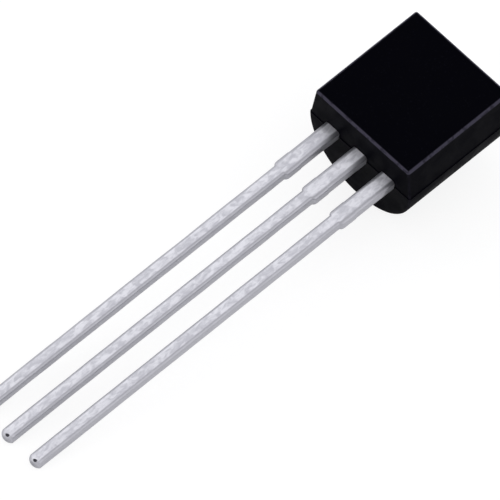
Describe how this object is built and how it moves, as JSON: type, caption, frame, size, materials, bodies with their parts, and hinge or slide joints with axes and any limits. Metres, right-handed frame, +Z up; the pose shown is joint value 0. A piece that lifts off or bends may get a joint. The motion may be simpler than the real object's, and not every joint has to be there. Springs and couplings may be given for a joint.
{
  "type": "thyristor",
  "caption": "Small-signal thyristor in a D-shaped black moulded body with a flat front, round back and three straight tinned leads in a line, lying on its back.",
  "frame": {"origin": "on the surface it rests on, under the middle of its bounding box", "axes": "+X runs across the leads from the cathode lead's opposite side to the anode lead, so seen from above the flat front the cathode is at -X and the anode at +X; +Y runs along the part from the lead tips to the top of the body; +Z is up, out of the flat front, which is tilted by 7.7 degrees because the lead tips rest on the surface"},
  "size_m": [0.0046, 0.0202, 0.0042],
  "materials": {
    "moulding": "black epoxy moulding compound, fine satin mould texture",
    "tinned_lead": "matte tin over the stamped copper-alloy frame",
    "solder": "soft solder, dull",
    "silicon": "polished silicon with an aluminium top metal, opaque",
    "bond_wire": "drawn aluminium wire, bright"
  },
  "bodies": {
    "root": {"body": "moulding", "cathode_lead": "tinned_lead", "gate_lead": "tinned_lead", "anode_lead": "tinned_lead", "die_solder": "solder", "thyristor_die": "silicon", "cathode_bond_wire": "bond_wire", "gate_bond_wire": "bond_wire"}
  },
  "joints": []
}
